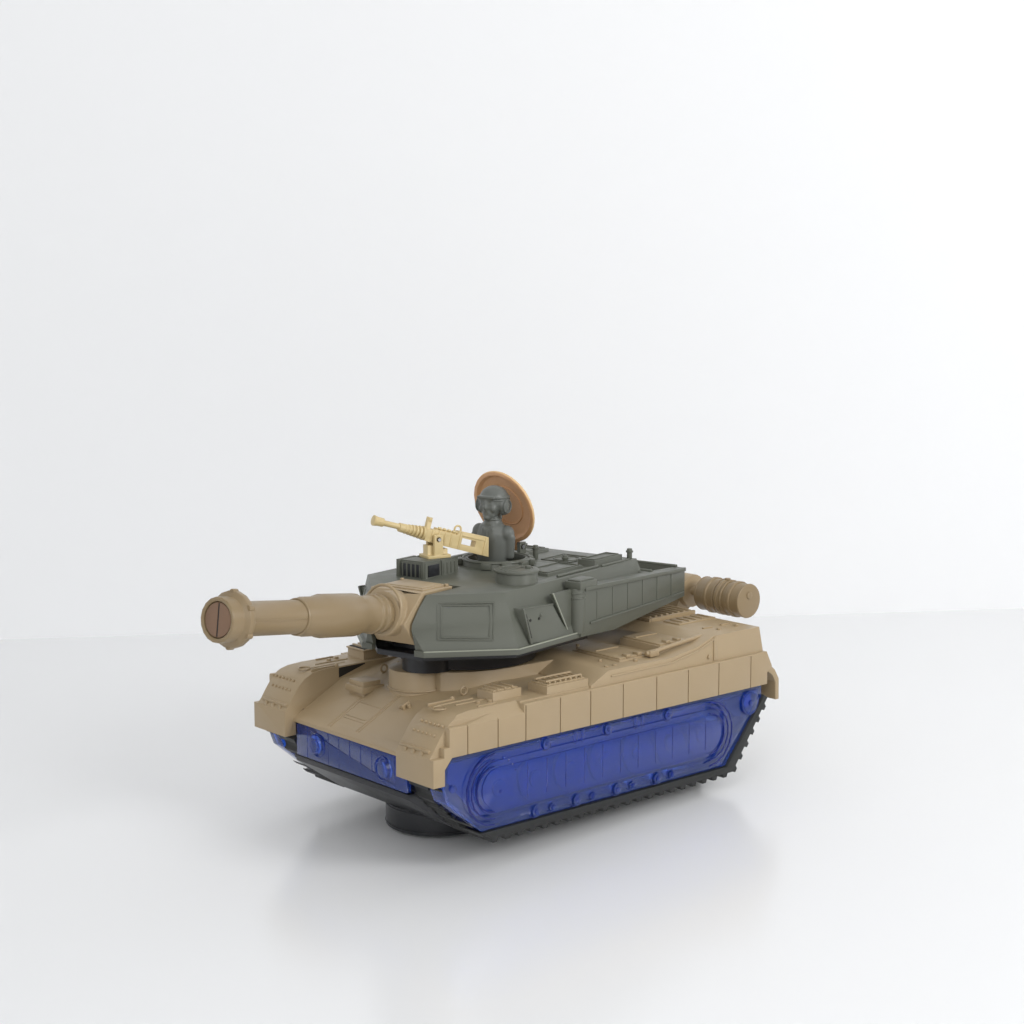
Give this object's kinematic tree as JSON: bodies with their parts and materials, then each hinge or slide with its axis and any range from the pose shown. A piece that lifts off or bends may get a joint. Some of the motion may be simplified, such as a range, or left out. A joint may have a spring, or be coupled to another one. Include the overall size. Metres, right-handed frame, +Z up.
{
  "type": "toy tank",
  "caption": "Self-driving toy tank with clear blue track covers, a turning turret, a gun that rises and a swivelling drive disc below.",
  "frame": {"origin": "middle of the bounding box, on the floor that the drive disc and the rear wheels stand on", "axes": "+X to the front of the hull, +Y to its left side, +Z up; the hull stands 2.3 degrees nose up on its drive disc"},
  "size_m": [0.2566, 0.116, 0.1285],
  "materials": {
    "tan": "satin moulded plastic, sand tan",
    "green": "satin moulded plastic, dark grey green",
    "black": "satin moulded plastic, black",
    "blue_clear": "clear tinted moulded plastic, royal blue",
    "cream": "satin moulded plastic, pale cream",
    "orange": "satin moulded plastic, orange tan",
    "brown": "satin moulded plastic, brown",
    "steel": "plain steel",
    "brass": "plated contact metal",
    "white": "natural moulded plastic",
    "cell": "coated metal, plain",
    "board": "coated circuit board"
  },
  "bodies": {
    "hull": {"hull_upper": "tan", "hull_lower": "black", "track_left": "black", "track_right": "black", "side_lens_left": "blue_clear", "side_lens_right": "blue_clear", "front_lens": "blue_clear", "battery_door": "black", "battery_cell_1": "cell", "battery_cell_2": "cell", "battery_cell_3": "cell", "contact_left": "brass", "contact_right": "brass", "circuit_board": "board", "speaker": "cell", "led_front_left": "white", "led_front_right": "white", "led_side_left": "white", "led_side_right": "white", "screw_front_left": "steel", "screw_front_right": "steel", "screw_rear_left": "steel", "screw_rear_right": "steel", "drum_bracket": "tan", "fuel_drum_left": "tan", "fuel_drum_right": "tan", "switch_housing": "steel"},
    "switch_knob": {"power_switch": "white"},
    "rear_wheels": {"rear_axle": "steel", "rear_wheel_left": "black", "rear_wheel_right": "black"},
    "turntable": {"drive_disc": "black", "disc_retainer": "black", "gearbox": "white", "motor": "steel"},
    "pinion": {"motor_pinion": "brass"},
    "gear_one": {"gear_first": "white"},
    "gear_two": {"gear_second": "white"},
    "drive_wheels": {"drive_axle": "white", "drive_wheel_left": "black", "drive_wheel_right": "black"},
    "turret": {"turret_base": "black", "turret_retainer": "black", "turret_shell": "green", "commander": "green"},
    "gun": {"mantlet": "tan", "gun_trunnion": "steel", "gun_barrel": "tan", "muzzle_disc": "brown"},
    "hatch": {"hatch_lid": "orange", "hatch_pin": "steel"},
    "mg_swivel": {"mg_mount": "cream"},
    "mg_cradle": {"mg_gun": "cream", "mg_pin": "steel"}
  },
  "joints": [
    {"name": "switch_slide", "type": "slide", "parent": "hull", "child": "switch_knob", "axis": [0, 1, 0], "range_m": [0, 0.003]},
    {"name": "rear_axle_spin", "type": "hinge", "parent": "hull", "child": "rear_wheels", "pos_m": [-0.09135, 0.00301, 0.0072], "axis": [0, 1, 0], "continuous": true},
    {"name": "disc_swivel", "type": "hinge", "parent": "hull", "child": "turntable", "pos_m": [0.01571, 0.00301, 0.00799], "axis": [-0.0401, 0, 0.9992], "continuous": true},
    {"name": "drive_wheel_spin", "type": "hinge", "parent": "turntable", "child": "drive_wheels", "pos_m": [0.01577, 0.00301, 0.00649], "axis": [0, 1, 0], "continuous": true},
    {"name": "gear_two_spin", "type": "hinge", "parent": "turntable", "child": "gear_two", "pos_m": [0.01541, 0.00301, 0.01529], "axis": [0, 1, 0], "continuous": true},
    {"name": "gear_one_spin", "type": "hinge", "parent": "turntable", "child": "gear_one", "pos_m": [0.015, 0.00301, 0.02568], "axis": [0, 1, 0], "continuous": true},
    {"name": "pinion_spin", "type": "hinge", "parent": "turntable", "child": "pinion", "pos_m": [0.01461, 0.00301, 0.03527], "axis": [0, 1, 0], "continuous": true},
    {"name": "turret_yaw", "type": "hinge", "parent": "hull", "child": "turret", "pos_m": [0.00072, 0.00301, 0.00739], "axis": [-0.0401, 0, 0.9992], "range_deg": [-58, 32]},
    {"name": "gun_elevation", "type": "hinge", "parent": "turret", "child": "gun", "pos_m": [0.02685, 0.00976, 0.08515], "axis": [0.2248, -0.9744, 0.009], "range_deg": [-6, 5]},
    {"name": "hatch_hinge", "type": "hinge", "parent": "turret", "child": "hatch", "pos_m": [-0.04257, -0.01456, 0.09693], "axis": [0.1114, -0.9938, 0.0045], "range_deg": [-3, 38]},
    {"name": "mg_yaw", "type": "hinge", "parent": "turret", "child": "mg_swivel", "pos_m": [0.00329, -0.00909, 0.09987], "axis": [-0.0401, 0, 0.9992], "range_deg": [-40, 3]},
    {"name": "mg_elevation", "type": "hinge", "parent": "mg_swivel", "child": "mg_cradle", "pos_m": [0.003, -0.00909, 0.10706], "axis": [-0.2077, -0.9781, -0.0083], "range_deg": [-10, 2]}
  ],
  "couplings": [
    {"joint": "gear_two_spin", "follows": "drive_wheel_spin", "ratio": -1.2},
    {"joint": "gear_one_spin", "follows": "drive_wheel_spin", "ratio": 1.92},
    {"joint": "pinion_spin", "follows": "drive_wheel_spin", "ratio": -3.84}
  ]
}
